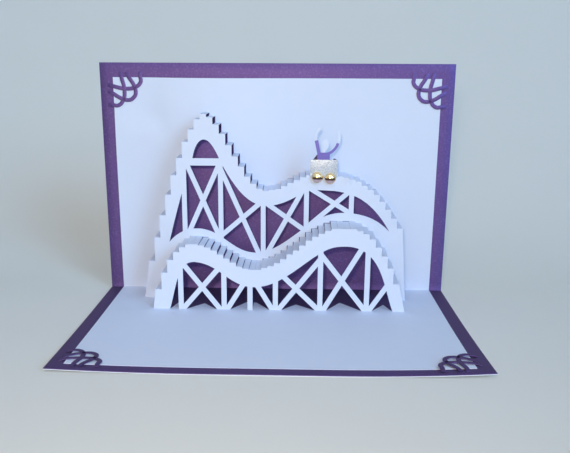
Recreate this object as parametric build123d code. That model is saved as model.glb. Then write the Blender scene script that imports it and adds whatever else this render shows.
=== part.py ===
from build123d import *
import os
from dataclasses import dataclass, replace
from itertools import groupby, pairwise
from math import atan2, cos, hypot, pi, radians, sin

# Pop-up greeting card, open: a white sheet cut and folded into a two-track roller coaster, on a purple mat
# with lattice corners, in a white card cover. The crease runs along X, the floor panel lies flat in front of
# it and the wall panel stands up behind. A place on the card is x along the crease, u out along the floor and
# v up along the wall, both from the inside of the crease. Every frame is parallel to the wall and every tread
# is parallel to the floor, so the sheet folds flat when the card is shut. Lengths are millimetres.

# Card panels and their three layers
card_width = 176.0
panel_length = 118.0
opening_angle = 85.5
cover_thickness = 0.35
mat_thickness = 0.3
sheet_thickness = 0.3

# Purple border left showing round the white sheet
side_border = 6.5
top_border = 7.2
front_border = 5.8

# Columns that the white sheet is slit into, counted from the middle of the coaster
column_pitch = 3.02
grid_centre = -0.1
height_step = 0.5
front_depth = 37.8
rear_depth = 18.9
front_columns = (-19, 20)
rear_columns = (-21, 21)

# How far the foot at each end of a frame spreads beyond its last column, left and right
front_foot_spread = (1.3, 3.1)
rear_foot_spread = (3.0, 2.9)

# Trusses: strut widths, and the card left between a track and the windows under it, as the width beside
# rising stretches, beside falling stretches and under level ones
front_strut_width = 2.5
rear_strut_width = 2.4
front_rim = (6.4, 4.4, 8.9)
tower_rim = (6.4, 6.4, 5.5)
drop_rim = (7.4, 7.4, 7.8)
hump_rim = (6.8, 4.5, 7.6)
rim_points = 17
rim_margin = 1
tower_columns = 5
smallest_window = 1.5

# Rear frame's sill along the front track: its height above the treads, and where it would reach the floor
sill_rise = 3.9
sill_reach = (9.5, 14.6)

# Posts in columns from the middle; braces bay by bay, as their heights at the left and right posts
front_posts = (-14.93, -7.98, -3.81, 0.27, 7.42, 14.87)
front_braces = (
    ((25.0, -2.5), (-1.0, 24.0)),
    ((-2.4, 18.4),),
    ((18.4, -2.3),),
    ((21.0, -0.5), (-1.7, 26.4)),
    ((28.8, -0.7), (-2.7, 37.0)),
)
front_end_brace = (-1.8, 17.1, 11.0)
rear_posts = (-14.83, -8.87, -1.92, 5.13, 12.45)
rear_braces = (
    ((73.4, 30.6), (30.6, 70.8)),
    ((67.6, 19.0), (33.2, 51.6)),
    ((51.3, 36.0), (20.8, 60.4)),
    ((59.0, 45.2), (37.7, 57.6)),
)

# Tower: the cross bar between its two posts and the arched window above the bar
bar_height = 70.7
bar_width = 3.6
arch_left = 5.4
arch_right = 7.6
arch_rise = 9.2

# Lattice corners, as distances from the white sheet's corner along the two edges
lattice_width = 1.45
lattice_ramp = 4.0
lattice_leg = 14.7
lattice_clearance = 0.05
long_strip = ((4.1, -0.4), (5.7, 6.6), (4.4, 11.6), (-0.4, 14.1))
middle_loop = ((7.9, -0.4), (10.8, 6.4), (10.0, 10.0), (6.4, 10.8), (-0.4, 7.9))

# Car on the right-hand hump
car_column = 7.86
car_width = 13.4
car_height = 8.8
car_overlap = 1.2
car_corner = 0.6
panel_thickness = 0.3
bead_diameter = 5.6
bead_height = 2.6
bead_rim = 0.3
bead_spacing = 6.35
bead_drop = 0.3

# Rider, measured from the middle of the car's upper edge
rider_thickness = 0.25
rider_tail = 5.8
torso_width = 6.1
torso_height = 3.5
torso_shift = -0.3
head_width = 3.3
head_height = 5.4
head_middle = (0.5, 7.3)
neck_foot = (-0.4, 3.0)
neck_width = 1.7
left_sleeve = ((-2.5, 2.8), (-3.9, 9.4))
left_sleeve_width = 1.7
right_sleeve = ((1.6, 2.9), (4.6, 4.8), (6.5, 8.1))
right_sleeve_width = 1.3
left_forearm = ((-3.9, 8.6), (-4.0, 12.6), (-1.9, 15.4))
right_forearm = ((6.4, 7.6), (7.0, 10.8), (6.3, 14.1))
forearm_width = 1.5
seat_edge = ((-5.3, 0), (-2.9, 3.2), (1.9, 2.6), (2.7, -0.3), (4.3, -0.3), (4.7, 0.65), (6.2, 0.1))

lean = radians(opening_angle)
stack = cover_thickness + mat_thickness + sheet_thickness
crease_reach = (1 + cos(lean)) / sin(lean)
crease_y = (panel_length - stack * crease_reach) / 2
sheet_slant = sheet_thickness / sin(lean)
beyond = 2.0

floor_plane = Plane(origin=(0, crease_y, stack), x_dir=(1, 0, 0), z_dir=(0, 0, -1))


def upright_plane(u):
    """Plane parallel to the wall, u in front of it, with x along the crease and y up the wall."""
    return Plane(origin=(0, crease_y - u, stack), x_dir=(1, 0, 0), z_dir=(0, -sin(lean), -cos(lean)))


def upright(outline, u, thickness):
    """Leaning sheet with its front face at u; its upper and lower edges are cut level."""
    return extrude(upright_plane(u) * outline, amount=thickness / sin(lean), dir=(0, 1, 0))


def polygon(*points):
    return make_face(Polyline(*points, close=True))


def folded_sheet(inner, outer, width, floor_length, wall_length):
    """One sheet folded once along the crease, between two depths behind the white sheet's face."""
    def corner(depth):
        return (crease_y + depth * crease_reach, stack - depth)

    def wall_edge(depth):
        return (
            crease_y - wall_length * cos(lean) + depth * sin(lean),
            stack + wall_length * sin(lean) + depth * cos(lean),
        )

    front = crease_y - floor_length
    section = polygon(
        (front, stack - inner), corner(inner), wall_edge(inner),
        wall_edge(outer), corner(outer), (front, stack - outer),
    )
    return extrude(Plane.YZ * section, amount=width / 2, both=True)


def grid_x(column):
    return grid_centre + column_pitch * column


@dataclass
class Track:
    """Smooth line of a track: two crests with a valley between, as (column, height), and both end falls."""

    left_crest: tuple
    valley: tuple
    right_crest: tuple
    left_reach: float
    left_power: float
    right_reach: float
    right_power: float
    drop_lean: float = 1.0

    def height(self, x):
        column = (x - grid_centre) / column_pitch
        start, start_height = self.left_crest
        low, low_height = self.valley
        end, end_height = self.right_crest
        if column <= start:
            return start_height * (1 - ((start - column) / self.left_reach) ** self.left_power)
        if column >= end:
            return end_height * (1 - ((column - end) / self.right_reach) ** self.right_power)
        if column <= low:
            share = ((column - start) / (low - start)) ** self.drop_lean
            return low_height + (start_height - low_height) * (1 + cos(pi * share)) / 2
        share = (column - low) / (end - low)
        return low_height + (end_height - low_height) * (1 - cos(pi * share)) / 2

    def inset_point(self, x, rim):
        """Point square to the track and inside it, by the rim's rising, falling and level widths."""
        rising, falling, level = rim
        reach = column_pitch / 10
        slope = (self.height(x + reach) - self.height(x - reach)) / (2 * reach)
        length = hypot(1, slope)
        side = rising if slope > 0 else falling
        return (x + side * slope / length, self.height(x) - level / length)

    def inset_curve(self, start, stop, rim=(0, 0, 0)):
        """Smooth curve along the track between two columns, a rim's width inside it."""
        steps = [start + (stop - start) * i / (rim_points - 1) for i in range(rim_points)]
        return Spline(*[self.inset_point(grid_x(column), rim) for column in steps])

    def raised(self, rise, left_reach, right_reach):
        """The same line higher up, with its own reach at both ends."""
        places = ("left_crest", "valley", "right_crest")
        higher = {place: (getattr(self, place)[0], getattr(self, place)[1] + rise) for place in places}
        return replace(self, left_reach=left_reach, right_reach=right_reach, **higher)

    def column_heights(self, columns):
        """Height of each column's tread, in whole height steps."""
        middles = [grid_x(column + 0.5) for column in range(*columns)]
        return [round(self.height(x) / height_step) * height_step for x in middles]


front_track = Track((-12.55, 33.0), (-3.3, 20.5), (10.7, 41.7), 6.9, 2.5, 10.25, 2.7)
rear_track = Track((-11.55, 94.0), (-1.3, 56.6), (6.4, 64.7), 10.45, 1.52, 18.9, 3.0, 0.9)
front_heights = front_track.column_heights(front_columns)
rear_heights = rear_track.column_heights(rear_columns)


def runs(columns, heights):
    """Left edge, right edge and height of each run of even columns, from left to right."""
    for height, group in groupby(zip(range(*columns), heights), key=lambda pair: pair[1]):
        numbers = [column for column, _ in group]
        yield grid_x(numbers[0]), grid_x(numbers[-1] + 1), height


def stair(columns, heights, drop=0.0):
    """Stepped line over the columns, from left to right."""
    points = []
    for left, right, height in runs(columns, heights):
        points += [(left, height - drop), (right, height - drop)]
    return points


def feet(columns, spread):
    return grid_x(columns[0]) - spread[0], grid_x(columns[1]) + spread[1]


def under_curve(curve, level):
    """Area between a curve and a level line below it."""
    start, end = curve @ 0, curve @ 1
    return make_face([curve, Polyline(end, (end.X, level), (start.X, level), start)])


def right_of(x):
    """Half of the sheet's plane, to the right of x."""
    return Pos(x + card_width / 2, 0) * Rectangle(card_width, 4 * panel_length)


def truss(posts, braces, width):
    """Posts and braces of a frame, as strips."""
    tall = panel_length
    strips = [trace(Line((grid_x(post), -tall), (grid_x(post), tall)), width) for post in posts]
    for (left, right), bay in zip(pairwise(posts), braces):
        for left_height, right_height in bay:
            strips.append(trace(Line((grid_x(left), left_height), (grid_x(right), right_height)), width))
    return strips


def windows(area, strips):
    """Openings left between the strips, without scraps too small to cut."""
    return Sketch() + [face for face in (area - strips).faces() if face.area > smallest_window]


def front_windows():
    start, stop = front_columns
    curve = front_track.inset_curve(
        start - front_foot_spread[0] / column_pitch, stop + front_foot_spread[1] / column_pitch, front_rim
    )
    area = under_curve(curve, -beyond) & Pos(0, panel_length / 2) * Rectangle(card_width, panel_length)
    foot, rise, run = front_end_brace
    corner = (grid_x(front_posts[-1]), foot)
    end_brace = trace(Line(corner, (corner[0] + run, foot + rise)), front_strut_width)
    return windows(area, truss(front_posts, front_braces, front_strut_width) + [end_brace])


def arch_window():
    """Window at the tower's top, flat on the bar and rounder on its left side."""
    apex = grid_x(rear_track.left_crest[0])
    base = bar_height + bar_width / 2
    left, right, top = (apex - arch_left, base), (apex + arch_right, base), (apex, base + arch_rise)
    curve = Spline(left, top, right, tangents=[(arch_left, 3 * arch_rise), (arch_right, -2 * arch_rise)])
    return make_face([curve, Line(right, left)])


def rear_windows():
    sill = under_curve(front_track.raised(sill_rise, *sill_reach).inset_curve(*rear_columns), -panel_length)
    left_post, right_post, drop_post = (grid_x(post) for post in rear_posts[:3])
    tower_curve = rear_track.inset_curve(rear_columns[0], rear_columns[0] + tower_columns, tower_rim)
    tower_side = under_curve(tower_curve, 0) - right_of(left_post)
    tower = polygon((left_post, 0), (right_post, 0), (right_post, bar_height), (left_post, bar_height))
    drop_curve = rear_track.inset_curve(rear_posts[1] + rim_margin, rear_posts[2] + rim_margin, drop_rim)
    drop = under_curve(drop_curve, 0) & right_of(right_post) - right_of(drop_post)
    hump_curve = rear_track.inset_curve(rear_posts[2] - rim_margin, rear_columns[1] + rim_margin, hump_rim)
    hump = under_curve(hump_curve, 0) & right_of(drop_post)
    bar = Pos((left_post + right_post) / 2, bar_height) * Rectangle(right_post - left_post, bar_width)
    strips = truss(rear_posts, rear_braces, rear_strut_width) + [sill, bar]
    return windows(tower_side + tower + drop + hump, strips) + arch_window()


def treads(columns, heights, near, far):
    """Level strips from the frame at near back to the sheet at far, one for each run of even columns."""
    solids = []
    drop = sheet_thickness * cos(lean) / sin(lean)
    for left, right, height in runs(columns, heights):
        top = stack + height * sin(lean)
        front = crease_y - near - height * cos(lean)
        back = crease_y - far - height * cos(lean) + sheet_slant
        under = top - sheet_thickness
        section = polygon((front, top), (back, top), (back + drop, under), (front + drop, under))
        solids.append(Pos(left, 0, 0) * extrude(Plane.YZ * section, amount=right - left))
    return solids


def floor_hole(columns, heights, spread, depth):
    """Floor that the columns were lifted out of, with the feet that spread beyond them."""
    left_foot, right_foot = feet(columns, spread)
    left, right = grid_x(columns[0]), grid_x(columns[1])
    edge = depth - sheet_slant
    return polygon(
        (left_foot, edge), (left, edge - heights[0]), (left, -beyond - depth),
        (right, -beyond - depth), (right, edge - heights[-1]), (right_foot, edge),
    )


def build_pop_up_sheet():
    left_foot, right_foot = feet(front_columns, front_foot_spread)
    front_outline = polygon((left_foot, 0), *stair(front_columns, front_heights), (right_foot, 0))
    front_openings = front_windows()

    rear_left, rear_right = feet(rear_columns, rear_foot_spread)
    front_left, front_right = grid_x(front_columns[0]), grid_x(front_columns[1])
    under = stair(front_columns, front_heights, sheet_slant)[::-1]
    rear_outline = polygon(
        (rear_left, 0), *stair(rear_columns, rear_heights), (rear_right, 0),
        (front_right, 0), *under, (front_left, 0),
    )

    width = card_width - 2 * side_border
    base = folded_sheet(0, sheet_thickness, width, panel_length - front_border, panel_length - top_border)
    floor_area = floor_hole(front_columns, front_heights, front_foot_spread, front_depth)
    floor_area += floor_hole(rear_columns, rear_heights, rear_foot_spread, rear_depth)
    wall_area = polygon(
        (grid_x(rear_columns[0]), -beyond), *stair(rear_columns, rear_heights, sheet_slant),
        (grid_x(rear_columns[1]), -beyond),
    )
    base -= extrude(floor_plane * floor_area, amount=beyond, both=True)
    base -= extrude(upright_plane(0) * wall_area, amount=beyond, dir=(0, 1, 0), both=True)

    flaps = [face for face in front_openings.faces() if face.bounding_box().min.Y < height_step]
    flaps = [Pos(0, front_depth) * mirror(face, about=Plane.XZ) for face in flaps]
    pieces = [
        upright(front_outline - front_openings, front_depth, sheet_thickness),
        upright(rear_outline - rear_windows(), rear_depth, sheet_thickness),
        *treads(front_columns, front_heights, front_depth, rear_depth),
        *treads(rear_columns, rear_heights, rear_depth, 0),
        *[extrude(floor_plane * flap, amount=sheet_thickness) for flap in flaps],
    ]
    return base + pieces


def border_corners():
    """Place of each inner corner of the border, with the sheet's face as its XY plane, and its mirroring."""
    side = card_width / 2 - side_border
    wall = upright_plane(0)
    floor = Plane(origin=(0, crease_y, stack), x_dir=(-1, 0, 0), z_dir=(0, 0, 1))
    for plane, reach in ((wall, panel_length - top_border), (floor, panel_length - front_border)):
        yield plane.location * Location((-side, reach, 0)), False
        yield plane.location * Location((side, reach, 0)), True


def build_purple_mat():
    lines = [
        Spline(*[(x, -y) for x, y in long_strip]),
        Spline(*[(y, -x) for x, y in long_strip]),
        Spline(*[(x, -y) for x, y in middle_loop]),
    ]
    strips = Sketch() + [trace(line, lattice_width) for line in lines]
    fills = [make_face([line, Polyline(line @ 1, (0, 0), line @ 0)]) for line in lines]
    hole = extrude(strips + fills, amount=stack, both=True)

    top = lattice_clearance + mat_thickness
    lattice = Pos(0, 0, lattice_clearance) * extrude(strips, amount=mat_thickness)
    near, far = lattice_clearance, lattice_clearance + lattice_ramp
    upper = polygon((near, -sheet_thickness), (far, -sheet_thickness), (near, top))
    side = polygon((-near, -sheet_thickness), (-near, top), (-far, -sheet_thickness))
    length = far + lattice_leg
    ramps = Pos(-far, 0, 0) * extrude(Plane.YZ * upper, amount=length)
    ramps += Pos(0, far, 0) * extrude(Plane.XZ * side, amount=length)

    back = sheet_thickness + mat_thickness
    mat = folded_sheet(sheet_thickness, back, card_width, panel_length, panel_length)
    for place, mirrored in border_corners():
        cut, corner = hole, lattice + ramps
        if mirrored:
            cut, corner = (mirror(solid, about=Plane.YZ) for solid in (cut, corner))
        mat = mat - place * cut + place * corner
    return mat


def build_outer_card():
    inner = sheet_thickness + mat_thickness
    return folded_sheet(inner, inner + cover_thickness, card_width, panel_length, panel_length)


def car_place():
    """Middle of the car's upper edge as (x, v), from the tread that the car stands on."""
    x = grid_x(car_column)
    return x, rear_track.height(x) - car_overlap + car_height


def build_car_panel():
    x, top = car_place()
    outline = Pos(x, top - car_height / 2) * RectangleRounded(car_width, car_height, car_corner)
    return upright(outline, rear_depth + panel_thickness / sin(lean), panel_thickness)


def build_wheel_bead(side):
    """Flat-backed half bead with its back on the car panel, left for side -1 and right for side 1."""
    x, top = car_place()
    edge = bead_diameter / 2
    rise = bead_height - bead_rim
    radius = (edge**2 + rise**2) / (2 * rise)
    half_turn = atan2(edge, radius - rise) / 2
    shoulder = (radius * sin(half_turn), bead_height - radius * (1 - cos(half_turn)))
    dome = ThreePointArc((edge, bead_rim), shoulder, (0, bead_height))
    section = make_face([dome, Polyline(dome @ 1, (0, 0), (edge, 0), dome @ 0)])
    bead = revolve(Plane.XZ * section, Axis.Z)
    place = Location((x + side * bead_spacing / 2, top - car_height - bead_drop, 0))
    return upright_plane(rear_depth + panel_thickness / sin(lean)).location * place * bead


def rider_outline(points, width):
    x, top = car_place()
    line = Line(*points) if len(points) == 2 else ThreePointArc(*points)
    return Pos(x, top) * trace(line, width)


def torso():
    x, top = car_place()
    middle = top + (torso_height - rider_tail) / 2
    return Pos(x + torso_shift, middle) * Rectangle(torso_width, torso_height + rider_tail)


def sleeves():
    return [rider_outline(left_sleeve, left_sleeve_width), rider_outline(right_sleeve, right_sleeve_width)]


def build_rider_shirt():
    return upright(torso() + sleeves(), rear_depth, rider_thickness)


def build_rider_figure():
    x, top = car_place()
    head = Pos(x + head_middle[0], top + head_middle[1]) * Ellipse(head_width / 2, head_height / 2)
    neck = rider_outline((neck_foot, head_middle), neck_width)
    forearms = [rider_outline(points, forearm_width) for points in (left_forearm, right_forearm)]
    outline = torso() + head + neck + sleeves() + forearms
    return upright(outline, rear_depth - rider_thickness / sin(lean), rider_thickness)


def build_seat_back():
    x, top = car_place()
    outline = polygon(*seat_edge, (seat_edge[-1][0], -rider_tail), (seat_edge[0][0], -rider_tail))
    return upright(Pos(x, top) * outline, rear_depth - 2 * rider_thickness / sin(lean), rider_thickness)


if __name__ == "__main__":
    os.makedirs("parts", exist_ok=True)
    pieces = {
        "outer_card": build_outer_card(),
        "purple_mat": build_purple_mat(),
        "pop_up_sheet": build_pop_up_sheet(),
        "car_panel": build_car_panel(),
        "wheel_bead_left": build_wheel_bead(-1),
        "wheel_bead_right": build_wheel_bead(1),
        "rider_figure": build_rider_figure(),
        "rider_shirt": build_rider_shirt(),
        "seat_back": build_seat_back(),
    }
    for name, solid in pieces.items():
        export_step(solid, f"parts/{name}.step")
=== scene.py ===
"""Looks of an open pop-up card: a white paper roller coaster on a purple mat with lattice corners."""

import logging
import math
from dataclasses import dataclass
from enum import Enum
from typing import Iterator

import bmesh
import bpy
from mathutils import Matrix, Vector


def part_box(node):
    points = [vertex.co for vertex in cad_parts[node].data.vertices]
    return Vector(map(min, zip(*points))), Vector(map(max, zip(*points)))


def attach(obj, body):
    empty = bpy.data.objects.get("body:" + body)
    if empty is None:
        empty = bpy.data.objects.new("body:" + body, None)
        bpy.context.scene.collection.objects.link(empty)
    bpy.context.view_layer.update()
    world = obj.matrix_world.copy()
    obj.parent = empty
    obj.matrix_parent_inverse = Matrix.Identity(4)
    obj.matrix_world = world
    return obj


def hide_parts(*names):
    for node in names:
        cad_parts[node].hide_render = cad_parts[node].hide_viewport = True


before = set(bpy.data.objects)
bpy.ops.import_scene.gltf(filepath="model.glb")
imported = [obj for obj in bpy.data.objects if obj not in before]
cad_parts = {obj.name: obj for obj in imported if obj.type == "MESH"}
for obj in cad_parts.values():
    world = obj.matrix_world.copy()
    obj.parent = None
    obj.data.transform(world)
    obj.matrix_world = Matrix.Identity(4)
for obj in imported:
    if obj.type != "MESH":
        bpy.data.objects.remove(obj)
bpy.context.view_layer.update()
LOG = logging.getLogger("coaster_card")
MM = 0.001
# Cosine above which a face counts as facing a direction.
FACING = 0.9
# Distance under which a solid's vertices are one vertex.
MERGE = 0.002 * MM
# Distance under which a cut uses a vertex that is already there.
CUT_SLACK = 1e-7

Tree = bpy.types.NodeTree
Node = bpy.types.Node
Socket = bpy.types.NodeSocket
Mesh = bpy.types.Mesh
Object = bpy.types.Object
BMesh = bmesh.types.BMesh
Point2 = tuple[float, float]
Point3 = tuple[float, float, float]


def linear(hex_colour: str) -> tuple[float, float, float, float]:
    """Turn an sRGB hex colour into linear light.

    Args:
        hex_colour: Six hex digits with a leading number sign.

    Returns:
        Red, green, blue and an alpha of one.
    """
    values = [int(hex_colour[i : i + 2], 16) / 255 for i in (1, 3, 5)]
    red, green, blue = (v / 12.92 if v <= 0.04045 else ((v + 0.055) / 1.055) ** 2.4 for v in values)
    return red, green, blue, 1.0


def fill(tree: Tree, node: Node, inputs: dict) -> None:
    """Set a node's inputs, by name or number, to values or link them to output sockets."""
    for key, value in inputs.items():
        if isinstance(value, Socket):
            tree.links.new(value, node.inputs[key])
        else:
            node.inputs[key].default_value = value


def add_node(tree: Tree, kind: str, inputs: dict | None = None, **settings) -> Node:
    """Add a node with its settings, values and links.

    Args:
        tree: The node tree that gets the node.
        kind: Blender's name of the node type.
        inputs: Values or output sockets by the input's name or number.
        settings: Attributes of the node itself.

    Returns:
        The new node.
    """
    node = tree.nodes.new(kind)
    for name, value in settings.items():
        setattr(node, name, value)
    fill(tree, node, inputs or {})
    return node


def maths(tree: Tree, operation: str, first: Socket, second: Socket | float) -> Socket:
    """Join two values by an operation of the math node."""
    return add_node(tree, "ShaderNodeMath", {0: first, 1: second}, operation=operation).outputs[0]


def blend(tree: Tree, share: Socket, first: Socket | str, second: str) -> Socket:
    """Mix two colours, of which the first may come from another node, by the second one's share."""
    start = linear(first) if isinstance(first, str) else first
    # Inputs 6 and 7 and output 2 are the mix node's sockets for colours.
    mix = add_node(tree, "ShaderNodeMix", {0: share, 6: start, 7: linear(second)}, data_type="RGBA")
    return mix.outputs[2]


def noise(tree: Tree, place: Socket, size_mm: float, detail: float) -> Socket:
    """Noise with grains of a real size, over coordinates in metres."""
    inputs = {"Vector": place, "Scale": 1 / (size_mm * MM), "Detail": detail}
    return add_node(tree, "ShaderNodeTexNoise", inputs).outputs[0]


def bump(tree: Tree, height: Socket, depth_mm: float) -> Socket:
    """Normal of a surface that a pattern raises by a real depth."""
    inputs = {"Height": height, "Distance": depth_mm * MM, "Strength": 1.0}
    return add_node(tree, "ShaderNodeBump", inputs).outputs[0]


def turned_away(tree: Tree) -> Socket:
    """How far a surface turns from the view: nought is face on and one is edge on."""
    return add_node(tree, "ShaderNodeLayerWeight", {"Blend": 0.5}).outputs["Facing"]


def view_rays(tree: Tree) -> tuple[Socket, Socket]:
    """Tell the rays that show the backdrop from the rays that only carry light.

    Args:
        tree: The node tree of a material or the world.

    Returns:
        One for the camera's rays, and one for the camera's, glossy and transmitted rays.
    """
    path = add_node(tree, "ShaderNodeLightPath").outputs
    direct = maths(tree, "MAXIMUM", path["Is Camera Ray"], path["Is Glossy Ray"])
    return path["Is Camera Ray"], maths(tree, "MAXIMUM", direct, path["Is Transmission Ray"])


@dataclass(frozen=True)
class Ramp:
    """A value that goes from low to high while another goes from start to stop."""

    start: float
    stop: Socket | float
    low: float = 0.0
    high: float = 1.0
    smooth: bool = False

    def of(self, tree: Tree, value: Socket) -> Socket:
        """Lead a value over the ramp."""
        inputs = {0: value, 1: self.start, 2: self.stop, 3: self.low, 4: self.high}
        kind = "SMOOTHSTEP" if self.smooth else "LINEAR"
        return add_node(tree, "ShaderNodeMapRange", inputs, interpolation_type=kind).outputs[0]


@dataclass(frozen=True)
class Finish:
    """A procedural material; each kind of finish adds its own nodes."""

    name: str
    colour: str
    second: str
    roughness: float

    def material(self) -> bpy.types.Material:
        """Make the material, or return it if it is already there."""
        made = bpy.data.materials.get(self.name)
        if made:
            return made
        made = bpy.data.materials.new(self.name)
        made.use_nodes = True
        tree = made.node_tree
        shader = tree.nodes["Principled BSDF"]
        shader.inputs["Roughness"].default_value = self.roughness
        self.dress(tree, shader, add_node(tree, "ShaderNodeTexCoord").outputs["Object"])
        return made

    def dress(self, tree: Tree, shader: Node, place: Socket) -> None:
        """Add this finish's own nodes.

        Args:
            tree: The material's node tree.
            shader: The material's shader node.
            place: Object coordinates, in metres.
        """
        raise NotImplementedError


@dataclass(frozen=True)
class SmoothCard(Finish):
    """Pressed cardstock: even colour, a faint cloudy look-through and a fine felt-side tooth."""

    cloud_mm: float = 7.0
    cloud_detail: float = 4.0
    tooth_mm: float = 0.7
    tooth_detail: float = 3.0
    tooth_depth_mm: float = 0.012

    def dress(self, tree: Tree, shader: Node, place: Socket) -> None:
        """Cloudy colour from a wide noise and a bump from a fine one."""
        cloud = noise(tree, place, self.cloud_mm, self.cloud_detail)
        # The real tooth is about 0.1 mm; it is drawn coarser so that it shows.
        tooth = noise(tree, place, self.tooth_mm, self.tooth_detail)
        fill(tree, shader, {
            "Base Color": blend(tree, cloud, self.colour, self.second),
            "Normal": bump(tree, tooth, self.tooth_depth_mm),
        })


@dataclass(frozen=True)
class TablePaper(SmoothCard):
    """Plain pale paper that goes over into an even backdrop away from the card."""

    far_colour: str = "#c6d0dc"
    dim_colour: str = "#6f7883"
    away_m: Ramp = Ramp(0.5, 0.78, smooth=True)

    def dress(self, tree: Tree, shader: Node, place: Socket) -> None:
        """Paper that takes the shadow near the card, and an even tone for the view's rays far from it."""
        super().dress(tree, shader, place)
        camera, seen = view_rays(tree)
        distance = add_node(tree, "ShaderNodeVectorMath", {0: place}, operation="LENGTH").outputs["Value"]
        share = maths(tree, "MULTIPLY", self.away_m.of(tree, distance), seen)
        tone = blend(tree, camera, self.dim_colour, self.far_colour)
        far = add_node(tree, "ShaderNodeEmission", {"Color": tone, "Strength": 1.0})
        mix = add_node(tree, "ShaderNodeMixShader", {0: share, 1: shader.outputs[0], 2: far.outputs[0]})
        fill(tree, tree.nodes["Material Output"], {"Surface": mix.outputs[0]})


@dataclass(frozen=True)
class PearlCard(Finish):
    """Cardstock coated with mica: light flecks, a silky sheen face on and a greyer tone at a flat view."""

    fleck: str = "#78659b"
    flop: str = "#766788"
    metallic: float = 0.7
    specular: float = 0.12
    flake_tilt: float = 0.15
    fleck_mm: float = 0.85
    fleck_detail: float = 2.0
    fleck_depth_mm: float = 0.02
    fleck_share: Ramp = Ramp(0.5, 0.8, high=0.75)
    flop_share: Ramp = Ramp(0.3, 0.75, high=0.85)
    cloud_mm: float = 9.0
    cloud_detail: float = 5.0

    def dress(self, tree: Tree, shader: Node, place: Socket) -> None:
        """Mica flecks as fine grains over a cloudy ground, greyer where the card is seen flat."""
        cloud = noise(tree, place, self.cloud_mm, self.cloud_detail)
        ground = blend(tree, cloud, self.colour, self.second)
        # Mica flakes are about 0.05 mm; they are drawn as larger grains so that they show.
        grain = noise(tree, place, self.fleck_mm, self.fleck_detail)
        flecked = blend(tree, self.fleck_share.of(tree, grain), ground, self.fleck)
        raised = bump(tree, grain, self.fleck_depth_mm)
        # The flakes lie tilted upwards, so the upright card throws light from above the lens straight back.
        tilted = add_node(tree, "ShaderNodeVectorMath", {0: raised, 1: (0.0, 0.0, self.flake_tilt)})
        normal = add_node(tree, "ShaderNodeVectorMath", {0: tilted.outputs[0]}, operation="NORMALIZE")
        fill(tree, shader, {
            "Base Color": blend(tree, self.flop_share.of(tree, turned_away(tree)), flecked, self.flop),
            "Metallic": self.metallic,
            "Specular IOR Level": self.specular,
            "Specular Tint": linear(self.flop),
            "Normal": normal.outputs[0],
        })


@dataclass(frozen=True)
class GlitterCard(Finish):
    """Card under a clear resin full of silver flakes: every flake has its own brightness and tilt."""

    metallic: float = 0.35
    resin: float = 0.4
    resin_roughness: float = 0.15
    flake_mm: float = 0.45
    flake_depth_mm: float = 0.08

    def dress(self, tree: Tree, shader: Node, place: Socket) -> None:
        """Cells with a random grey and a random height."""
        inputs = {"Vector": place, "Scale": 1 / (self.flake_mm * MM)}
        flake = add_node(tree, "ShaderNodeTexVoronoi", inputs).outputs["Color"]
        fill(tree, shader, {
            "Base Color": blend(tree, flake, self.colour, self.second),
            "Metallic": self.metallic,
            "Coat Weight": self.resin,
            "Coat Roughness": self.resin_roughness,
            "Normal": bump(tree, flake, self.flake_depth_mm),
        })


@dataclass(frozen=True)
class GiltFilm(Finish):
    """Metallised acrylic: a cloudy gold mirror whose reflection is painted into its colour: yellow above for
    the bright ceiling, dark at eye level for the dim room and rosy white below for the white card.
    """

    # Painted reflection of the dim room: a dark band at eye level.
    painted_room_reflection: str = "#5c4238"
    painted_reflection_stops: tuple[float, ...] = (0.33, 0.42, 0.48, 0.57)
    painted_reflection_slope: Ramp = Ramp(-1.0, 1.0)
    rim_share: Ramp = Ramp(0.3, 0.7)
    cloud_mm: float = 1.6
    cloud_detail: float = 3.0
    cloud_range: Point2 = (0.3, 0.7)
    dullness: Point2 = (0.7, 1.3)

    def dress(self, tree: Tree, shader: Node, place: Socket) -> None:
        """Gold with a painted reflection: its colour follows its slope, yellow for the ceiling above, dark
        for the dim room at eye level and rosy white for the card below.
        """
        normal = add_node(tree, "ShaderNodeNewGeometry").outputs["Normal"]
        slope = add_node(tree, "ShaderNodeSeparateXYZ", {0: normal}).outputs["Z"]
        # Painted reflection: the slope of the surface picks the colour, as if the ceiling, the dim room and
        # the card showed in it.
        painted_reflections = add_node(tree, "ShaderNodeValToRGB", {0: self.painted_reflection_slope.of(tree, slope)})
        reflection_colours = (self.second, self.painted_room_reflection, self.painted_room_reflection, self.colour)
        elements = painted_reflections.color_ramp.elements
        while len(elements) < len(reflection_colours):
            elements.new(1.0)
        for element, stop, colour in zip(elements, self.painted_reflection_stops, reflection_colours):
            element.position = stop
            element.color = linear(colour)
        # Seen flat, the painted reflection gives way to the film's own gold, which rings the bead.
        rim = self.rim_share.of(tree, turned_away(tree))
        cloud = noise(tree, place, self.cloud_mm, self.cloud_detail)
        gloss = Ramp(*self.cloud_range, *(self.roughness * share for share in self.dullness))
        fill(tree, shader, {
            "Base Color": blend(tree, rim, painted_reflections.outputs[0], self.colour),
            "Metallic": 1.0,
            "Roughness": gloss.of(tree, cloud),
        })


WHITE_CARD = SmoothCard("smooth_white_cardstock", "#d8e4fa", "#dce7fb", 0.62)
COVER_CARD = SmoothCard("plain_white_cover_card", "#e2e8f3", "#e8edf6", 0.66)
PURPLE_CARD = PearlCard("pearl_purple_cardstock", "#5d4b81", "#65528b", 0.5)
LILAC_CARD = SmoothCard("matt_lilac_cardstock", "#7a6bbd", "#8274c5", 0.6)
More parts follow.
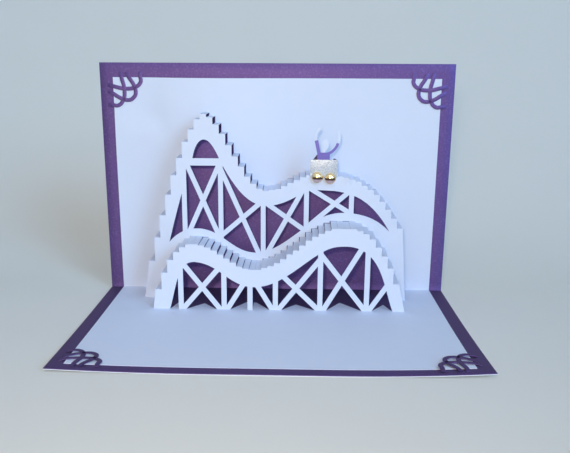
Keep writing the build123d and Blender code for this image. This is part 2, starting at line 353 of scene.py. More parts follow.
# The seat's dark purple is painted shade: it stands for card lying in the shade behind the shirt and the car
# panel.
SHADED_SEAT_CARD = SmoothCard("dark_purple_cardstock", "#3a2d55", "#43355f", 0.6)
SILVER_GLITTER = GlitterCard("silver_glitter_card", "#b3bccb", "#d2dae6", 0.35)
SILVER_FLAKE = GlitterCard("silver_glitter_flake", "#b8c1ce", "#dce3eb", 0.25)
# The bead's gold is also the painted reflection of the bright ceiling on its top; its second colour is the
# painted reflection of the white card below.
GILT = GiltFilm("gilt_acrylic_bead", "#ffe2ae", "#ffdacd", 0.12)
TABLE_PAPER = TablePaper("plain_table_paper", "#e7e8e3", "#ebebe6", 0.85, cloud_mm=60.0)


@dataclass(frozen=True)
class CardFrame:
    """Where the card's panels and frames are: the values of the solid model, in metres."""

    width: float = 176 * MM
    panel: float = 118 * MM
    lean: float = math.radians(85.5)
    cover: float = 0.35 * MM
    mat: float = 0.3 * MM
    sheet: float = 0.3 * MM
    side_border: float = 6.5 * MM
    top_border: float = 7.2 * MM
    front_border: float = 5.8 * MM
    front_depth: float = 37.8 * MM
    rear_depth: float = 18.9 * MM
    pitch: float = 3.02 * MM

    @property
    def stack(self) -> float:
        """Height of the white sheet's upper face."""
        return self.cover + self.mat + self.sheet

    @property
    def crease_reach(self) -> float:
        """How far a layer's corner moves back for each unit of its depth."""
        return (1 + math.cos(self.lean)) / math.sin(self.lean)

    @property
    def crease_y(self) -> float:
        """Place of the inner crease."""
        return (self.panel - self.stack * self.crease_reach) / 2

    @property
    def up(self) -> Vector:
        """Direction up along the wall."""
        return Vector((0, -math.cos(self.lean), math.sin(self.lean)))

    @property
    def out(self) -> Vector:
        """Direction out of the wall's face, towards the viewer."""
        return Vector((0, -math.sin(self.lean), -math.cos(self.lean)))

    def upright(self, x: float, u: float, v: float) -> Vector:
        """Point at x along the crease, u out along the floor from it and v up along a frame."""
        return Vector((x, self.crease_y - u, self.stack)) + v * self.up

    def across(self, point: Vector) -> Point2:
        """Distance u out along the floor from the crease and height v up along the wall of a point."""
        v = (point.z - self.stack) / math.sin(self.lean)
        return self.crease_y - point.y - v * math.cos(self.lean), v


CARD = CardFrame()


@dataclass(frozen=True)
class CornerCurl:
    """Spring of the floor panel: its front corners lift off the table a little."""

    left_rise: float = 1.3 * MM
    right_rise: float = 2.0 * MM
    start_x: float = 25 * MM
    start_y: float = 25 * MM

    def lift(self, x: float, y: float) -> float:
        """How far the floor panel stands off the table, at x along the crease and y across the floor."""
        front = CARD.crease_y - CARD.panel
        side = max(0.0, (abs(x) - self.start_x) / (CARD.width / 2 - self.start_x))
        near = max(0.0, (self.start_y - y) / (self.start_y - front))
        rise = self.left_rise if x < 0 else self.right_rise
        return rise * side**2 * near**2


CURL = CornerCurl()


@dataclass(frozen=True)
class WallBow:
    """Slack of the white sheet: beside the tall hump it stands off the mat."""

    height: float = 5.0 * MM
    centre: Point2 = (-30 * MM, 78 * MM)
    reach: float = 32 * MM

    def stand(self, x: float, v: float) -> float:
        """How far the sheet stands off the mat, at x along the crease and v up along the wall."""
        way = ((x - self.centre[0]) ** 2 + (v - self.centre[1]) ** 2) / self.reach**2
        return self.height * math.exp(-way)


BOW = WallBow()


@dataclass(frozen=True)
class Ripple:
    """Slow unevenness of hand-folded card; the phase makes each panel's its own."""

    phase: float
    cross_waves: Point2 = (19 * MM, 27 * MM)
    cross_shift: float = 1.7
    slant_waves: Point2 = (41 * MM, 33 * MM)
    slant_shift: float = -0.8

    def at(self, x: float, v: float) -> float:
        """Unevenness from minus one to one, at x along the crease and v across the sheet."""
        cross = math.sin(x / self.cross_waves[0] + self.phase)
        cross *= math.sin(v / self.cross_waves[1] + self.cross_shift * self.phase)
        slant = math.sin(x / self.slant_waves[0] + self.slant_shift * self.phase + v / self.slant_waves[1])
        return 0.5 * cross + 0.5 * slant


def new_object(name: str, mesh: Mesh, finish: Finish) -> Object:
    """Link a mesh that is already in place as an object with one finish."""
    piece = bpy.data.objects.new(name, mesh)
    bpy.context.scene.collection.objects.link(piece)
    mesh.materials.clear()
    mesh.materials.append(finish.material())
    return piece


def plain_mesh(work: BMesh, name: str) -> Mesh:
    """Turn a working mesh into a plain one, and free it."""
    mesh = bpy.data.meshes.new(name)
    work.to_mesh(mesh)
    work.free()
    return mesh


def smooth_faces(mesh: Mesh, sharp_degrees: float = 35.0) -> None:
    """Shade a mesh smooth, with hard edges where its faces turn sharply.

    Args:
        mesh: The mesh.
        sharp_degrees: Smallest turn that stays a hard edge.
    """
    work = bmesh.new()
    work.from_mesh(mesh)
    limit = math.radians(sharp_degrees)
    for face in work.faces:
        face.smooth = True
    for edge in work.edges:
        edge.smooth = len(edge.link_faces) == 2 and edge.calc_face_angle(math.pi) < limit
    work.to_mesh(mesh)
    work.free()


def bake(piece: Object) -> None:
    """Turn a piece's modifiers into plain mesh."""
    bpy.context.view_layer.update()
    graph = bpy.context.evaluated_depsgraph_get()
    result = bpy.data.meshes.new_from_object(piece.evaluated_get(graph), depsgraph=graph)
    old = piece.data
    piece.modifiers.clear()
    piece.data = result
    result.name = piece.name
    bpy.data.meshes.remove(old)


def round_edges(piece: Object, width: float, turn_degrees: float, steps: int = 2) -> None:
    """Round a piece's sharp edges, and shade it.

    Args:
        piece: The piece.
        width: Width of the rounding.
        turn_degrees: Smallest turn that is rounded.
        steps: Faces across the rounding.
    """
    rounding = piece.modifiers.new("edge_round", "BEVEL")
    rounding.width = width
    rounding.limit_method = "ANGLE"
    rounding.angle_limit = math.radians(turn_degrees)
    rounding.segments = steps
    bake(piece)
    smooth_faces(piece.data)


def settle(piece: Object, slot: str, *nodes: str) -> None:
    """Hand a finished piece to the frame.

    Args:
        piece: The finished piece.
        slot: Not used.
        nodes: Solids of the model that the piece stands for.
    """
    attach(piece, "root")
    if nodes:
        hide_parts(*nodes)
    LOG.info("%s: %d faces", piece.name, len(piece.data.polygons))


def merged_copy(node: str) -> BMesh:
    """Working copy of a solid's mesh with its doubles merged, which the caller frees."""
    work = bmesh.new()
    work.from_mesh(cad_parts[node].data)
    bmesh.ops.remove_doubles(work, verts=work.verts, dist=MERGE)
    work.normal_update()
    return work


def slice_up(work: BMesh, direction: Vector, start: float, stop: float, step: float) -> None:
    """Cut a mesh along parallel planes, so that it can bend.

    Args:
        work: The mesh.
        direction: Normal of the planes.
        start: Place of the first plane along the direction.
        stop: Place that no plane passes.
        step: Distance between planes.
    """
    place = start
    while place < stop:
        geometry = [*work.verts, *work.edges, *work.faces]
        spot = direction * place
        bmesh.ops.bisect_plane(work, geom=geometry, dist=CUT_SLACK, plane_co=spot, plane_no=direction)
        place += step


class Given(Enum):
    """Kinds of input that a geometry node tree takes."""

    GEOMETRY = "NodeSocketGeometry"
    OBJECT = "NodeSocketObject"
    MATERIAL = "NodeSocketMaterial"
    FLOAT = "NodeSocketFloat"
    WHOLE = "NodeSocketInt"


def new_tree(name: str, inputs: dict[str, Given]) -> tuple[Tree, Node]:
    """Start a geometry node tree.

    Args:
        name: Name of the tree.
        inputs: Kinds of the inputs that come after the geometry, by their names.

    Returns:
        The tree and the node that gives its inputs.
    """
    tree = bpy.data.node_groups.new(name, "GeometryNodeTree")
    for label, kind in {"Geometry": Given.GEOMETRY, **inputs}.items():
        tree.interface.new_socket(label, in_out="INPUT", socket_type=kind.value)
    tree.interface.new_socket("Geometry", in_out="OUTPUT", socket_type=Given.GEOMETRY.value)
    return tree, add_node(tree, "NodeGroupInput")


def xyz(tree: Tree, x: Socket | float, y: Socket | float, z: Socket | float) -> Socket:
    """Join three values to a vector."""
    return add_node(tree, "ShaderNodeCombineXYZ", {"X": x, "Y": y, "Z": z}).outputs[0]


def named(tree: Tree, name: str, kind: str = "FLOAT") -> Socket:
    """Values that the mesh carries on its points."""
    return add_node(tree, "GeometryNodeInputNamedAttribute", {"Name": name}, data_type=kind).outputs[0]


def lay_copies(tree: Tree, inputs: dict, material: Socket) -> None:
    """End a tree: lay copies on points, make them real and give them their material.

    Args:
        tree: The node tree.
        inputs: What is laid where and how, by the names of the laying node's inputs.
        material: The copies' material.
    """
    laid = add_node(tree, "GeometryNodeInstanceOnPoints", inputs)
    real = add_node(tree, "GeometryNodeRealizeInstances", {0: laid.outputs[0]})
    dressed = add_node(tree, "GeometryNodeSetMaterial", {"Geometry": real.outputs[0], "Material": material})
    add_node(tree, "NodeGroupOutput", {0: dressed.outputs[0]})


def bake_nodes(piece: Object, tree: Tree, values: dict) -> None:
    """Give a piece a node tree, set the tree's inputs and bake the result.

    Args:
        piece: The object that gets the modifier.
        tree: The node tree.
        values: Input values by the input's name.
    """
    modifier = piece.modifiers.new(tree.name, "NODES")
    modifier.node_group = tree
    for item in tree.interface.items_tree:
        if item.in_out == "INPUT" and item.name in values:
            modifier[item.identifier] = values[item.name]
    bake(piece)


@dataclass
class FoldedSheet:
    """A plain sheet folded once along the crease, such as the cover or the mat."""

    name: str
    node: str
    slot: str
    finish: Finish
    inner: float
    outer: float
    cells: int = 44
    panel_cells: int = 28
    edge_round: float = 0.06 * MM
    edge_degrees: float = 60.0

    def profile(self, depth: float) -> list[Point2]:
        """Line of one face from the front edge over the crease to the wall's top.

        Args:
            depth: Depth of the face below the white sheet's face.

        Returns:
            Points as (y, z).
        """
        front, level = CARD.crease_y - CARD.panel, CARD.stack - depth
        corner = Vector((CARD.crease_y + depth * CARD.crease_reach, level))
        top = Vector((CARD.crease_y - CARD.panel * math.cos(CARD.lean) + depth * math.sin(CARD.lean),
                      CARD.stack + CARD.panel * math.sin(CARD.lean) + depth * math.cos(CARD.lean)))
        start = Vector((front, level))
        floor = [start.lerp(corner, i / self.panel_cells) for i in range(self.panel_cells)]
        wall = [corner.lerp(top, i / self.panel_cells) for i in range(self.panel_cells + 1)]
        return [(p.x, p.y) for p in floor + wall]

    def build(self) -> None:
        """Make the folded sheet."""
        inner, outer = self.profile(self.inner), self.profile(self.outer)
        work = bmesh.new()
        rings = []
        for station in range(self.cells + 1):
            x = CARD.width * (station / self.cells - 0.5)
            ring = []
            for line in (inner, outer[::-1]):
                for y, z in line:
                    lift = CURL.lift(x, y) if z < 2 * CARD.stack else 0.0
                    ring.append(work.verts.new((x, y, z + lift)))
            rings.append(ring)
        count = len(inner)
        for left, right in zip(rings, rings[1:]):
            for i in range(2 * count):
                j = (i + 1) % (2 * count)
                work.faces.new((left[i], right[i], right[j], left[j]))
        for ring in (rings[0], rings[-1]):
            for i in range(count - 1):
                work.faces.new((ring[i], ring[i + 1], ring[-2 - i], ring[-1 - i]))
        bmesh.ops.recalc_face_normals(work, faces=work.faces)
        piece = new_object(self.name, plain_mesh(work, self.name), self.finish)
        round_edges(piece, self.edge_round, self.edge_degrees)
        settle(piece, self.slot, self.node)


class Panel(Enum):
    """The two panels of the card."""

    FLOOR = "floor"
    WALL = "wall"


@dataclass
class LatticeCorners:
    """Curved ribbons of the mat that hold the white sheet's four corners."""

    ribbon: float = 1.95 * MM
    thickness: float = 0.3 * MM
    edge_round: float = 0.1 * MM
    edge_steps: int = 2
    clearance: float = 0.05 * MM
    foot_mm: float = 2.6
    sink: float = 0.12 * MM
    resolution: int = 14
    long_strip_mm: tuple[Point2, ...] = ((4.3, -0.4), (5.6, 6.4), (4.7, 11.4), (2.2, 13.9), (-0.4, 13.8))
    middle_loop_mm: tuple[Point2, ...] = (
        (7.9, -0.4), (10.7, 4.6), (11.1, 8.2), (10.0, 10.0), (8.2, 11.1), (4.6, 10.7), (-0.4, 7.9),
    )

    def corners(self) -> Iterator[Matrix]:
        """Place of each corner: x and y run inwards along the sheet's edges, and z out of its face."""
        side = CARD.width / 2 - CARD.side_border
        for panel in Panel:
            for hand in (-1, 1):
                if panel is Panel.WALL:
                    origin = CARD.upright(hand * side, 0, CARD.panel - CARD.top_border)
                    inward, normal = -CARD.up, CARD.out
                else:
                    y = CARD.crease_y - (CARD.panel - CARD.front_border)
                    origin = Vector((hand * side, y, CARD.stack + CURL.lift(hand * side, y)))
                    inward, normal = Vector((0, 1, 0)), Vector((0, 0, 1))
                along = Vector((-hand, 0, 0))
                first, second = (along, inward) if along.cross(inward).dot(normal) > 0 else (inward, along)
                yield Matrix.Translation(origin) @ Matrix((first, second, normal)).transposed().to_4x4()

    def ribbon_curve(self) -> Object:
        """Centre lines of one corner's ribbons.

        Returns:
            A curve object in the corner's own frame.
        """
        curve = bpy.data.curves.new("lattice_lines", "CURVE")
        curve.dimensions = "3D"
        curve.resolution_u = self.resolution
        mirrored = tuple((y, x) for x, y in self.long_strip_mm)
        over = self.clearance + self.thickness / 2
        under = -CARD.sheet - self.sink + self.thickness / 2
        for points in (self.long_strip_mm, mirrored, self.middle_loop_mm):
            feet = [self.foot_of(points[0], points[1]), self.foot_of(points[-1], points[-2])]
            knots = [(*feet[0], under), *((x, y, over) for x, y in points), (*feet[1], under)]
            spline = curve.splines.new("BEZIER")
            spline.bezier_points.add(len(knots) - 1)
            for knot, (x, y, level) in zip(spline.bezier_points, knots):
                knot.co = (x * MM, y * MM, level)
                knot.handle_left_type = knot.handle_right_type = "AUTO"
        return bpy.data.objects.new("lattice_lines", curve)

    def foot_of(self, end: Point2, inner: Point2) -> Point2:
        """Where a ribbon's end has run down into the mat's border, in line with its last stretch."""
        way = (Vector(end) - Vector(inner)).normalized() * self.foot_mm
        return end[0] + way.x, end[1] + way.y

    def tree(self) -> Tree:
        """Node tree that lays one corner's ribbons at every corner point.

        Returns:
            The tree, with inputs for the ribbon's sizes.
        """
        tree, node = new_tree("lattice_corners", {
            "Centre Lines": Given.OBJECT,
            "Ribbon Width": Given.FLOAT,
            "Card Thickness": Given.FLOAT,
            "Edge Round": Given.FLOAT,
            "Card": Given.MATERIAL,
        })
        given = node.outputs
        lines = add_node(tree, "GeometryNodeObjectInfo", {"Object": given["Centre Lines"]})
        level = {"Curve": lines.outputs["Geometry"], "Normal": (0.0, 0.0, 1.0)}
        path = add_node(tree, "GeometryNodeSetCurveNormal", level, mode="FREE")
        size = {"Width": given["Card Thickness"], "Height": given["Ribbon Width"]}
        section = add_node(tree, "GeometryNodeCurvePrimitiveQuadrilateral", size)
        soft = {"Curve": section.outputs[0], "Radius": given["Edge Round"], "Count": self.edge_steps}
        rounded = add_node(tree, "GeometryNodeFilletCurve", soft, mode="POLY")
        swept = {"Curve": path.outputs[0], "Profile Curve": rounded.outputs[0], "Fill Caps": True}
        lay_copies(tree, {
            "Points": given["Geometry"],
            "Instance": add_node(tree, "GeometryNodeCurveToMesh", swept).outputs[0],
            "Rotation": named(tree, "turn", "FLOAT_VECTOR"),
        }, given["Card"])
        return tree

    def build(self) -> None:
        """Lay the ribbons on the four corners."""
        places = list(self.corners())
        mesh = bpy.data.meshes.new("mat_lattice")
        mesh.from_pydata([place.translation for place in places], [], [])
        turns = mesh.attributes.new("turn", "FLOAT_VECTOR", "POINT")
        for item, place in zip(turns.data, places):
            item.vector = place.to_euler()
        piece = new_object("mat_lattice", mesh, PURPLE_CARD)
        lines = self.ribbon_curve()
        bake_nodes(piece, self.tree(), {
            "Centre Lines": lines,
            "Ribbon Width": self.ribbon,
            "Card Thickness": self.thickness,
            "Edge Round": self.edge_round,
            "Card": PURPLE_CARD.material(),
        })
        bpy.data.objects.remove(lines)
        smooth_faces(piece.data)
        settle(piece, "mat_card")


@dataclass
class PopUpSheet:
    """The white sheet: floor, wall and the two cut coaster frames."""

    cut: float = 4 * MM
    lowest_cut: float = 3 * MM
    uncut_foot: float = 2 * MM
    frame_ripple: float = 0.16 * MM
    wall_bulge: float = 0.3 * MM
    held_corner: float = 16 * MM
    fade: float = 12 * MM
    face_slack: float = 0.05 * MM
    point_slack: float = 0.1 * MM
    wall_wave: Ripple = Ripple(0.4)
    front_wave: Ripple = Ripple(2.0)
    rear_wave: Ripple = Ripple(3.1)

    def build(self) -> None:
        """Make the sheet from the faces of the solid that show."""
        work = merged_copy("pop_up_sheet")
        hidden = [face for face in work.faces if not self.shows(face)]
        bmesh.ops.delete(work, geom=hidden, context="FACES")
        half = CARD.width / 2
        foot = CARD.crease_y - CARD.front_depth - self.uncut_foot
        slice_up(work, Vector((1, 0, 0)), -half, half, self.cut)
        slice_up(work, Vector((0, 0, 1)), self.lowest_cut, CARD.panel, self.cut)
        slice_up(work, Vector((0, 1, 0)), -half, foot, self.cut)
        for vert in work.verts:
            vert.co += self.shift(vert.co)
        piece = new_object("white_sheet", plain_mesh(work, "white_sheet"), WHITE_CARD)
        body = piece.modifiers.new("card", "SOLIDIFY")
        body.thickness = CARD.sheet
        body.offset = -1
        bake(piece)
        smooth_faces(piece.data)
        settle(piece, "sheet_card", "pop_up_sheet")

    def shows(self, face: bmesh.types.BMFace) -> bool:
        """Whether a face of the solid is the upper or front face of the floor, the wall or a frame."""
        u, v = CARD.across(face.calc_center_median())
        if face.normal.z > FACING:
            return abs(v) < self.face_slack
        planes = (0.0, CARD.rear_depth, CARD.front_depth)
        on_plane = any(abs(u - plane) < self.face_slack for plane in planes)
        return on_plane and face.normal.dot(CARD.out) > FACING

    def shift(self, point: Vector) -> Vector:
        """How far hand-folded card stands off its true place at a point."""
        u, v = CARD.across(point)
        if v < self.point_slack:
            return Vector((0, 0, CURL.lift(point.x, point.y)))
        free = min(1.0, v / self.fade)
        if u < self.point_slack:
            # The lattice holds the sheet's corners flat.
            inset = max(CARD.width / 2 - CARD.side_border - abs(point.x), CARD.panel - CARD.top_border - v)
            free *= min(1.0, max(0.0, (inset - self.held_corner) / self.fade))
            bulge = self.wall_bulge * (0.5 + 0.5 * self.wall_wave.at(point.x, v))
            return CARD.out * free * (bulge + BOW.stand(point.x, v))
        wave = self.front_wave if u > CARD.rear_depth else self.rear_wave
        return CARD.out * self.frame_ripple * free * wave.at(point.x, v)


@dataclass
class StepTreads:
    """Level treads of both tracks, one narrow strip for each slit column."""

    slit: float = 0.09 * MM
    fold: float = 0.5 * MM
    fold_drop: float = 0.4
    stations: int = 40
    tilt: float = math.radians(0.9)
    front_skew: float = math.radians(-1.1)
    seed: int = 11
    lowest_tread: float = 2 * MM
    tread_middle: float = 9 * MM
    middle_slack: float = 6 * MM
    sharp_degrees: float = 50.0

    def columns(self) -> Iterator[tuple[Vector, float, float]]:
        """Middle of every tread's front edge, the share of the full depth that it spans, and its turn."""
        work = merged_copy("pop_up_sheet")
        tops = []
        for face in work.faces:
            u, v = CARD.across(face.calc_center_median())
            if face.normal.z > FACING and v > self.lowest_tread:
                along = [vert.co.x for vert in face.verts]
                tops.append((u, v, min(along), max(along)))
        work.free()
        for depth in (CARD.front_depth, CARD.rear_depth):
            track = [top for top in tops if abs(top[0] - depth + self.tread_middle) < self.middle_slack]
            start, stop = min(top[2] for top in track), max(top[3] for top in track)
            for i in range(round((stop - start) / CARD.pitch)):
                x = start + (i + 0.5) * CARD.pitch
                v = next(top[1] for top in track if top[2] < x < top[3])
                if depth == CARD.front_depth:
                    yield CARD.upright(x, depth, v), 1.0, self.front_skew
                else:
                    yield CARD.upright(x, depth, v), 1 - BOW.stand(x, v) / CARD.rear_depth, 0.0

    def tree(self) -> Tree:
        """Node tree that lays one bent strip at every column.

        Returns:
            The tree, with inputs for the strip's sizes.
        """
        sizes = ("Strip Width", "Strip Depth", "Card Thickness", "Fold Length", "Fold Drop", "Tilt")
        tree, node = new_tree("step_treads", {
            **dict.fromkeys(sizes, Given.FLOAT),
            "Seed": Given.WHOLE,
            "Card": Given.MATERIAL,
        })
        given = node.outputs
        size = xyz(tree, given["Strip Width"], given["Strip Depth"], given["Card Thickness"])
        box = {"Size": size, "Vertices X": 2, "Vertices Y": self.stations, "Vertices Z": 2}
        strip = add_node(tree, "GeometryNodeMeshCube", box)
        # The strip's front end rolls over its fold: it drops as the square of the way into the fold.
        place = add_node(tree, "GeometryNodeInputPosition").outputs[0]
        along = add_node(tree, "ShaderNodeSeparateXYZ", {0: place}).outputs["Y"]
        half = maths(tree, "MULTIPLY", given["Strip Depth"], 0.5)
        share = Ramp(0.0, given["Fold Length"], 1.0, 0.0).of(tree, maths(tree, "ADD", half, along))
        drop = maths(tree, "MULTIPLY", maths(tree, "POWER", share, 2.0), given["Fold Length"])
        down = maths(tree, "MULTIPLY", drop, maths(tree, "MULTIPLY", given["Fold Drop"], -1.0))
        level = maths(tree, "ADD", down, maths(tree, "MULTIPLY", given["Card Thickness"], -0.5))
        moved = {"Geometry": strip.outputs[0], "Offset": xyz(tree, 0.0, half, level)}
        draw = {2: maths(tree, "MULTIPLY", given["Tilt"], -1.0), 3: given["Tilt"], "Seed": given["Seed"]}
        lean = add_node(tree, "FunctionNodeRandomValue", draw, data_type="FLOAT").outputs[1]
        lay_copies(tree, {
            "Points": given["Geometry"],
            "Instance": add_node(tree, "GeometryNodeSetPosition", moved).outputs[0],
            "Rotation": xyz(tree, lean, 0.0, named(tree, "skew")),
            "Scale": xyz(tree, 1.0, named(tree, "span"), 1.0),
        }, given["Card"])
        return tree

    def build(self) -> None:
        """Lay a tread on every column."""
        mesh = bpy.data.meshes.new("step_treads")
        columns = list(self.columns())
        mesh.from_pydata([column[0] for column in columns], [], [])
        for index, name in ((1, "span"), (2, "skew")):
            values = mesh.attributes.new(name, "FLOAT", "POINT").data
            for item, column in zip(values, columns):
                item.value = column[index]
        piece = new_object("step_treads", mesh, WHITE_CARD)
        bake_nodes(piece, self.tree(), {
            "Strip Width": CARD.pitch - self.slit,
            "Strip Depth": CARD.rear_depth + CARD.sheet,
            "Card Thickness": CARD.sheet,
            "Fold Length": self.fold,
            "Fold Drop": self.fold_drop,
            "Tilt": self.tilt,
            "Seed": self.seed,
            "Card": WHITE_CARD.material(),
        })
        smooth_faces(piece.data, self.sharp_degrees)
        settle(piece, "sheet_card")


@dataclass
class CardCutOut:
    """A flat piece cut from card, with slightly rounded cut edges."""

    name: str
    node: str
    slot: str
    finish: Finish
    edge_round: float = 0.05 * MM
    edge_degrees: float = 50.0
    flat_degrees: float = 1.0

    def build(self) -> None:
        """Round the cut edges of a copy of the solid."""
        work = merged_copy(self.node)
        flat = math.radians(self.flat_degrees)
        bmesh.ops.dissolve_limit(work, angle_limit=flat, verts=work.verts, edges=work.edges)
        piece = new_object(self.name, plain_mesh(work, self.name), self.finish)
        round_edges(piece, self.edge_round, self.edge_degrees)
        settle(piece, self.slot, self.node)


@dataclass
class GlitterFlakes:
    """Loose flakes set in the car panel's resin, at all tilts."""

    flake: float = 0.16 * MM
    corners: int = 6
    thickness: float = 0.03 * MM
    per_square_mm: float = 11.0
    tilt: float = math.radians(24)
    seed: int = 4

    def tree(self) -> Tree:
        """Node tree that scatters tilted six-sided flakes over a surface.

        Returns:
            The tree, with inputs for the flakes' sizes.
        """
        tree, node = new_tree("glitter_flakes", {
            **dict.fromkeys(("Flake Radius", "Flake Thickness", "Density", "Tilt"), Given.FLOAT),
            "Seed": Given.WHOLE,
            "Flake": Given.MATERIAL,
        })
        given = node.outputs
        field = {"Mesh": given["Geometry"], "Density": given["Density"], "Seed": given["Seed"]}
        spread = add_node(tree, "GeometryNodeDistributePointsOnFaces", field).outputs
        size = {"Vertices": self.corners, "Radius": given["Flake Radius"], "Depth": given["Flake Thickness"]}
        back = maths(tree, "MULTIPLY", given["Tilt"], -1.0)
        lows = xyz(tree, back, back, -math.pi)
        highs = xyz(tree, given["Tilt"], given["Tilt"], math.pi)
        draw = {0: lows, 1: highs, "Seed": given["Seed"]}
        tilt = add_node(tree, "FunctionNodeRandomValue", draw, data_type="FLOAT_VECTOR").outputs[0]
        turns = {"Rotation": spread["Rotation"], "Rotate By": tilt}
        turned = add_node(tree, "FunctionNodeRotateRotation", turns, rotation_space="LOCAL")
        lay_copies(tree, {
            "Points": spread["Points"],
            "Instance": add_node(tree, "GeometryNodeMeshCylinder", size).outputs[0],
            "Rotation": turned.outputs[0],
        }, given["Flake"])
        return tree

    def build(self) -> None:
        """Scatter the flakes over the panel's front."""
        work = merged_copy("car_panel")
        hidden = [face for face in work.faces if face.normal.dot(CARD.out) < FACING]
        bmesh.ops.delete(work, geom=hidden, context="FACES")
        piece = new_object("glitter_flakes", plain_mesh(work, "glitter_flakes"), SILVER_FLAKE)
        bake_nodes(piece, self.tree(), {
            "Flake Radius": self.flake,
            "Flake Thickness": self.thickness,
            "Density": self.per_square_mm / MM**2,
            "Tilt": self.tilt,
            "Seed": self.seed,
            "Flake": SILVER_FLAKE.material(),
        })
        settle(piece, "glitter_card")


@dataclass
class HalfBead:
    """Flat-backed half bead that stands for a wheel."""

    name: str
    node: str
    shift: float
    back_share: float = 0.94
    back_round: float = 0.06 * MM
    rim: float = 0.25 * MM
    turns: int = 48
    rows: int = 14
    sharp_degrees: float = 40.0

    def build(self) -> None:
        """Turn the bead's dome from its section."""
        low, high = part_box(self.node)
        radius = (high.x - low.x) / 2
        levels = [vert.co.dot(CARD.out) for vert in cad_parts[self.node].data.vertices]
        height = max(levels) - min(levels)
        centre = (low + high) / 2
        centre += CARD.out * (min(levels) - centre.dot(CARD.out)) + CARD.up * self.shift
        section = [(radius * self.back_share, 0.0), (radius, self.back_round), (radius, self.rim)]
        for row in range(1, self.rows):
            angle = math.pi / 2 * row / self.rows
            section.append((radius * math.cos(angle), self.rim + (height - self.rim) * math.sin(angle)))
        work = bmesh.new()
        side = Vector((1, 0, 0))
        rings = []
        for reach, level in section:
            ring = []
            for turn in range(self.turns):
                angle = 2 * math.pi * turn / self.turns
                spoke = side * math.cos(angle) + CARD.up * math.sin(angle)
                ring.append(work.verts.new(centre + CARD.out * level + reach * spoke))
            rings.append(ring)
        for lower, upper in zip(rings, rings[1:]):
            for i in range(self.turns):
                j = (i + 1) % self.turns
                work.faces.new((lower[i], lower[j], upper[j], upper[i]))
        work.faces.new(rings[0])
        crown = work.verts.new(centre + CARD.out * height)
        for i in range(self.turns):
            work.faces.new((rings[-1][i], rings[-1][(i + 1) % self.turns], crown))
        bmesh.ops.recalc_face_normals(work, faces=work.faces)
        piece = new_object(self.name, plain_mesh(work, self.name), GILT)
        smooth_faces(piece.data, self.sharp_degrees)
        settle(piece, "gilt_bead", self.node)


@dataclass(frozen=True)
class SoftBox:
    """A rectangular studio lamp aimed at the card."""

    name: str
    place: Point3
    aim: Point3
    size: Point2
    power: float
    colour: str
    spread: float

    def build(self) -> None:
        """Make the lamp, facing the point that it is aimed at."""
        lamp = bpy.data.lights.new(self.name, "AREA")
        lamp.shape = "RECTANGLE"
        lamp.size, lamp.size_y = self.size
        lamp.energy = self.power
        lamp.spread = math.radians(self.spread)
        lamp.color = linear(self.colour)[:3]
        piece = bpy.data.objects.new(self.name, lamp)
        piece.location = self.place
        way = Vector(self.aim) - Vector(self.place)
        piece.rotation_euler = way.to_track_quat("-Z", "Y").to_euler()
        bpy.context.scene.collection.objects.link(piece)


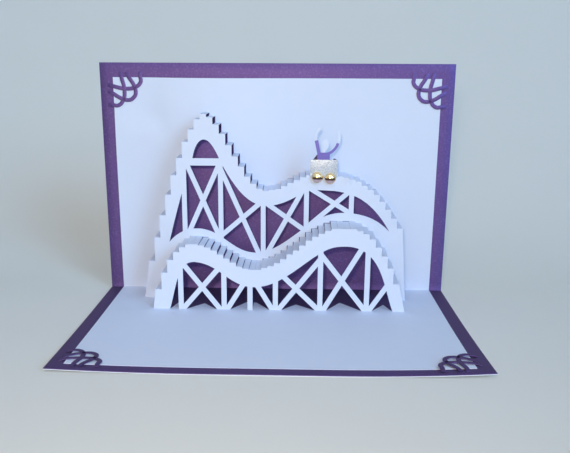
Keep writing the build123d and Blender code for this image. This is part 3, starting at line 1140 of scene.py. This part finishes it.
@dataclass
class Studio:
    """Pale table with a rounded sweep behind, soft lamps and the camera."""

    sweep_start: float = 0.075
    sweep_radius: float = 0.32
    sweep_cells: int = 32
    backdrop_height: float = 1.6
    table_gap: float = 0.02 * MM
    reach: float = 2.4
    ceiling_colour: str = "#e0eafd"
    ceiling_strength: Ramp = Ramp(0.25, 0.55, 0.05, 0.33, smooth=True)
    far_share: Ramp = Ramp(0.02, 0.3, smooth=True)
    focal_px: float = 779.85
    centre_px: Point2 = (272.30, 228.88)
    image_px: Point2 = (570.0, 453.0)
    sensor_mm: float = 36.0
    clip_start: float = 0.01
    camera_place_mm: Point3 = (8.76, -342.91, 118.47)
    camera_right: Point3 = (0.99960184, 0.02774813, 0.00511894)
    camera_down: Point3 = (0.01076224, -0.20723701, -0.97823157)
    lamps: tuple[SoftBox, ...] = (
        SoftBox("window_light", (1.89, -2.51, 1.35), (0, 0, 0.05), (1.56, 1.73), 6.6, "#97c9f4", 50),
        SoftBox("room_light", (-0.2, -2.7, 0.42), (0, 0, 0.05), (1.4, 1.0), 1.02, "#ffe3b4", 50),
        SoftBox("ceiling_panel", (0, -0.55, 0.85), (0, 0, 0.05), (0.9, 0.45), 1.57, "#f5faff", 180),
        SoftBox(
            "camera_side_light", (-0.012, -0.39, 0.156), (-0.03, -0.02, 0.04), (0.012, 0.01),
            0.192, "#ffe8ca", 110,
        ),
    )

    def build_table(self) -> None:
        """Floor and backdrop in one sweep."""
        line = [(-self.reach, 0.0), (self.sweep_start, 0.0)]
        for i in range(1, self.sweep_cells + 1):
            angle = math.pi / 2 * i / self.sweep_cells
            y = self.sweep_start + self.sweep_radius * math.sin(angle)
            line.append((y, self.sweep_radius * (1 - math.cos(angle))))
        line.append((self.sweep_start + self.sweep_radius, self.backdrop_height))
        verts = [(x, y, z - self.table_gap) for x in (-self.reach, self.reach) for y, z in line]
        count = len(line)
        faces = [(i, i + count, i + count + 1, i + 1) for i in range(count - 1)]
        mesh = bpy.data.meshes.new("table_sweep")
        mesh.from_pydata(verts, [], faces)
        for face in mesh.polygons:
            face.use_smooth = True
        piece = new_object("table_sweep", mesh, TABLE_PAPER)

    def build_world(self) -> None:
        """Soft light from a pale ceiling, falling off towards a dim room at eye level."""
        world = bpy.data.worlds.new("studio_air")
        world.use_nodes = True
        tree = world.node_tree
        way = add_node(tree, "ShaderNodeTexCoord").outputs["Generated"]
        height = add_node(tree, "ShaderNodeSeparateXYZ", {0: way}).outputs["Z"]
        light = tree.nodes["Background"]
        strength = self.ceiling_strength.of(tree, height)
        fill(tree, light, {"Color": linear(self.ceiling_colour), "Strength": strength})
        # Past the table's edge the camera sees a pale backdrop; the gilt beads see it dimmer at eye level.
        camera, seen = view_rays(tree)
        share = maths(tree, "MAXIMUM", self.far_share.of(tree, height), camera)
        tone = blend(tree, share, TABLE_PAPER.dim_colour, TABLE_PAPER.far_colour)
        far = add_node(tree, "ShaderNodeBackground", {"Color": tone, "Strength": 1.0})
        mix = add_node(tree, "ShaderNodeMixShader", {0: seen, 1: light.outputs[0], 2: far.outputs[0]})
        fill(tree, tree.nodes["World Output"], {"Surface": mix.outputs[0]})
        bpy.context.scene.world = world

    def build_camera(self) -> None:
        """Camera at the photograph's place."""
        lens = bpy.data.cameras.new("camera")
        width, height = self.image_px
        lens.sensor_width = self.sensor_mm
        lens.lens = self.focal_px * self.sensor_mm / width
        lens.shift_x = (width / 2 - self.centre_px[0]) / width
        lens.shift_y = (self.centre_px[1] - height / 2) / width
        lens.clip_start = self.clip_start
        piece = bpy.data.objects.new("camera", lens)
        right, down = Vector(self.camera_right), Vector(self.camera_down)
        turn = Matrix((right, -down, right.cross(-down))).transposed()
        piece.matrix_world = Matrix.Translation(Vector(self.camera_place_mm) * MM) @ turn.to_4x4()
        bpy.context.scene.collection.objects.link(piece)
        bpy.context.scene.camera = piece

    def build(self) -> None:
        """Set up the table, the light and the camera."""
        self.build_table()
        self.build_world()
        for lamp in self.lamps:
            lamp.build()
        self.build_camera()
        bpy.context.scene.view_settings.view_transform = "Standard"


def main() -> None:
    """Build every piece in order."""
    logging.basicConfig(level=logging.INFO)
    pieces = (
        FoldedSheet("cover", "outer_card", "cover_card", COVER_CARD, CARD.sheet + CARD.mat, CARD.stack),
        FoldedSheet("mat", "purple_mat", "mat_card", PURPLE_CARD, CARD.sheet, CARD.sheet + CARD.mat),
        LatticeCorners(),
        PopUpSheet(),
        StepTreads(),
        CardCutOut("car_front", "car_panel", "glitter_card", SILVER_GLITTER),
        GlitterFlakes(),
        HalfBead("left_wheel", "wheel_bead_left", shift=0.3 * MM),
        HalfBead("right_wheel", "wheel_bead_right", shift=-0.15 * MM),
        CardCutOut("figure", "rider_figure", "figure_card", WHITE_CARD),
        CardCutOut("shirt", "rider_shirt", "shirt_card", LILAC_CARD),
        CardCutOut("seat", "seat_back", "seat_card", SHADED_SEAT_CARD),
    )
    for piece in pieces:
        piece.build()
    Studio().build()
    LOG.info("%d pieces built", len(pieces))


if __name__ == "__main__":
    main()
